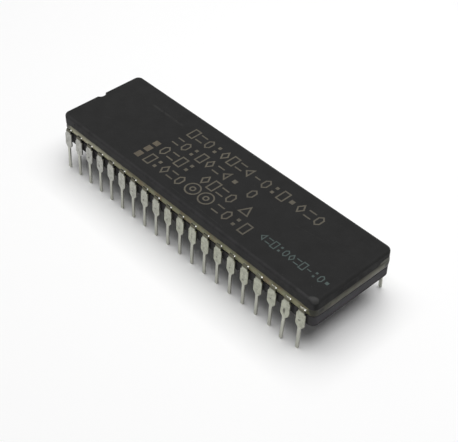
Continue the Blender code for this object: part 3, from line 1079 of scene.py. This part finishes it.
inkLook = {
    "khaki": (0.092, 0.081, 0.059),
    "block": (0.094, 0.077, 0.052),
    "blockTo": (-10.3 * mm, -10.1 * mm),
    "green": (0.050, 0.075, 0.070),
    "fade": (-6.0 * mm, 14.0 * mm, 1.0, 0.82),
    "patchy": (4 * mm, 2.0, 0.55, 0.35, 0.65, 0.75, 1.0),
    "worn": (0.22 * mm, 5.0, 0.7, 0.52, 0.72),
    "wornShare": 0.75,
    "grain": {"Fine": 16000.0, "Broad": 3000.0, "Broad_Share": 0.4},
    "grainDepth": 0.003 * mm,
    "roughness": (0.55, 0.72),
    "specular": 0.3,
}

printShape = {
    "stroke": {"khaki": 0.22 * mm, "green": 0.1584 * mm},
    "depth": 0.006 * mm,
    "creaseAngle": 30,
    "rings": ((2, 40), (0.8, 20)),  # across, in radii, and segments
    # shares of a mark's height; the single dash is a share of its width
    "width": 0.62,
    "dash": 0.8,
    "dashesAt": (-0.3, 0.3),
    "dotsAt": (-0.26, 0.26),
    "dot": 0.24,
    "square": 0.34,
    "triangle": (0.98, 1.15),
    "triangleRadius": 0.58,
}

# each row: ink, first x, step, y of the foot and height of the marks, in mm, then the marks;
# a number is the sides of an outlined shape, "d" an outlined diamond, "^" a wide triangle,
# "-" a dash, "=" two dashes, ":" two small squares and "#" one
printRows = [
    ("khaki", -9.0, 1.66, 2.8, 2.1,
     [4, "=", 6, ":", "d", 4, "=", 3, "-", 6, ":", 4, "#", "d", "=", 6]),
    ("khaki", -9.2, 1.70, 0.0, 2.05, ["=", 6, ":", 4, "d", "=", 3, "#", None, 6]),
    ("khaki", -8.9, 1.72, -2.77, 2.15, [6, "=", 4, ":", None, "d", 4, "=", 6]),
    ("khaki", 8.07, 1.72, -2.67, 1.98, ["^"]),
    ("khaki", -8.9, 1.58, -5.43, 2.1, [4, ":", "d", "=", 6]),
    ("khaki", 5.2, 1.75, -5.43, 2.1, ["=", 6, ":", 4]),
    ("green", 13.2, 1.02, -4.33, 1.4, [3, "=", 4, ":", 6, "d", "=", 4, "-", ":", 6, "#"]),
]
# x and y of the middle, then width and height, or radius, in mm
printBlocks = [(-10.9, -1.55, 1.0, 0.95), (-10.9, -3.1, 1.0, 1.2), (-10.9, -4.8, 1.0, 1.2)]
printRings = [(-0.07, -4.2, 1.23), (2.6, -4.2, 1.23)]


def makeInk(name, ink, look, under):
    material, tree, shader, place = startMaterial(name, Specular_IOR_Level=look["specular"])
    x = splitPlace(tree, place)[0]
    # the ink gets weaker along the lid, and worn flecks show the ceramic under it
    shown = product(tree, cloudMask(tree, place, look["patchy"]), rangeNode(tree, x, *look["fade"]))
    blocks = rangeNode(tree, x, *look["blockTo"], 1.0, 0.0)
    color = mixColors(tree, shown, under, mixColors(tree, blocks, ink, look["block"]))
    worn = product(tree, cloudMask(tree, place, look["worn"]), look["wornShare"])
    color = mixColors(tree, worn, color, under)
    grain = useGroup(tree, grainGroup, place, **look["grain"])
    finishSurface(tree, shader, color, grain, look)
    return material


def markPlace(x, y, width, height):
    return Matrix.Translation((x, y, 0)) @ Matrix.Diagonal((width, height, 1, 1))


def printBar(bm, x, y, width, height):
    place = markPlace(x, y, width, height)
    bmesh.ops.create_grid(bm, x_segments=1, y_segments=1, size=0.5, matrix=place)


def printOutline(bm, x, y, width, height, sides, stroke):
    turn = {4: math.pi / 4, 3: math.pi / 2}.get(sides, 0)
    wide = printShape["triangleRadius"]
    radius = {4: 0.5 / math.cos(math.pi / 4), 3: wide, "^": wide}.get(sides, 0.5)
    sides = {"d": 4, "^": 3}.get(sides, sides)
    place = markPlace(x, y, width, height) @ Matrix.Rotation(turn, 4, "Z")
    made = bmesh.ops.create_circle(bm, cap_ends=True, segments=sides, radius=radius, matrix=place)
    face = made["verts"][0].link_faces[0]
    bmesh.ops.inset_region(
        bm, faces=[face], thickness=stroke, use_boundary=True, use_even_offset=True
    )
    bmesh.ops.delete(bm, geom=[face], context="FACES_ONLY")


def printMark(bm, mark, x, foot, height, stroke, shape):
    middle = foot + height / 2
    width = shape["width"] * height
    if mark == "-":
        printBar(bm, x, middle, width * shape["dash"], stroke)
    elif mark == "#":
        printBar(bm, x, middle, shape["square"] * height, shape["square"] * height)
    elif mark == ":":
        for up in shape["dotsAt"]:
            printBar(bm, x, middle + up * height, shape["dot"] * height, shape["dot"] * height)
    elif mark == "=":
        for up in shape["dashesAt"]:
            printBar(bm, x, middle + up * height, width, stroke)
    elif mark == "^":
        wide, tall = (share * height for share in shape["triangle"])
        printOutline(bm, x, foot + height / 3, wide, tall, mark, stroke)
    elif mark:
        printOutline(bm, x, middle, width, height, mark, stroke)


def makePrint(ink, material, shape):
    bm = bmesh.new()
    stroke = shape["stroke"][ink]
    for rowInk, firstX, step, foot, height, marks in printRows:
        if rowInk != ink:
            continue
        for number, mark in enumerate(marks):
            x = (firstX + number * step) * mm
            printMark(bm, mark, x, foot * mm, height * mm, stroke, shape)
    if ink == "khaki":
        for x, y, width, height in printBlocks:
            printBar(bm, x * mm, y * mm, width * mm, height * mm)
        for x, y, radius in printRings:
            for across, segments in shape["rings"]:
                size = across * radius * mm
                printOutline(bm, x * mm, y * mm, size, size, segments, stroke)
    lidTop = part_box("lid")[1].z
    bmesh.ops.translate(bm, verts=bm.verts, vec=(0, 0, lidTop - shape["depth"] / 2))
    raisePlate(bm, list(bm.faces), shape["depth"], keep=True)
    addPiece(ink + "Print", bm, material, (), shape["creaseAngle"])


for inkName in ("khaki", "green"):
    inkMaterial = makeInk(inkName + "Ink", inkLook[inkName], inkLook, lidLook["light"])
    makePrint(inkName, inkMaterial, printShape)
print("print made")


# Floor and light

studio = {
    "floorSize": 1.6,
    "floorColor": (0.96, 0.96, 0.96),
    "floorRoughness": 0.9,
    "floorSpecular": 0.1,
    "floorBoost": 0.01,
    "whiteFrom": (0.09, 0.35),
    "keyPlace": (0, 40 * mm, 300 * mm),
    "keySize": 350 * mm,
    "keyPower": 1.18,
    "aim": (0, 0, 4 * mm),
    "ambient": (0.13, 0.13, 0.13),
    "white": (1.0, 1.0, 1.0),
}


def seenDirectly(tree):
    # 1 for rays from the camera and for what gloss and glass show
    path = tree.nodes.new("ShaderNodeLightPath")
    either = mathNode(tree, "MAXIMUM", path.outputs["Is Camera Ray"], path.outputs["Is Glossy Ray"])
    return mathNode(tree, "MAXIMUM", either, path.outputs["Is Transmission Ray"])


def makeFloor(settings):
    bm = bmesh.new()
    bmesh.ops.create_grid(bm, x_segments=1, y_segments=1, size=settings["floorSize"] / 2)
    floor = newObject("floor", newMesh("floor", bm))
    material, tree, shader, place = startMaterial(
        "paleFloor", Roughness=settings["floorRoughness"],
        Specular_IOR_Level=settings["floorSpecular"], Base_Color=(*settings["floorColor"], 1),
        Emission_Color=(*settings["white"], 1),
    )
    # far from the object, where the lamp fades, the floor is shown white
    length = tree.nodes.new("ShaderNodeVectorMath")
    length.operation = "LENGTH"
    tree.links.new(place, length.inputs[0])
    far = rangeNode(
        tree, length.outputs["Value"], *settings["whiteFrom"], settings["floorBoost"], 1.0
    )
    boost = product(tree, seenDirectly(tree), far)
    tree.links.new(boost, shader.inputs["Emission Strength"])
    giveMaterial(floor, material)


def makeLamp(settings):
    data = bpy.data.lights.new("keyLamp", "AREA")
    data.shape = "SQUARE"
    data.size = settings["keySize"]
    data.energy = settings["keyPower"]
    lamp = newObject("keyLamp", data)
    lamp.location = settings["keyPlace"]
    lamp.rotation_mode = "QUATERNION"
    towards = Vector(settings["aim"]) - Vector(settings["keyPlace"])
    lamp.rotation_quaternion = towards.to_track_quat("-Z", "Y")


def makeWorld(settings):
    world = bpy.data.worlds.new("studio")
    bpy.context.scene.world = world
    world.use_nodes = True
    tree = world.node_tree
    background = tree.nodes["Background"]
    shown = mixColors(tree, seenDirectly(tree), settings["ambient"], settings["white"])
    tree.links.new(shown, background.inputs["Color"])


makeFloor(studio)
makeLamp(studio)
makeWorld(studio)
print("floor and light set")
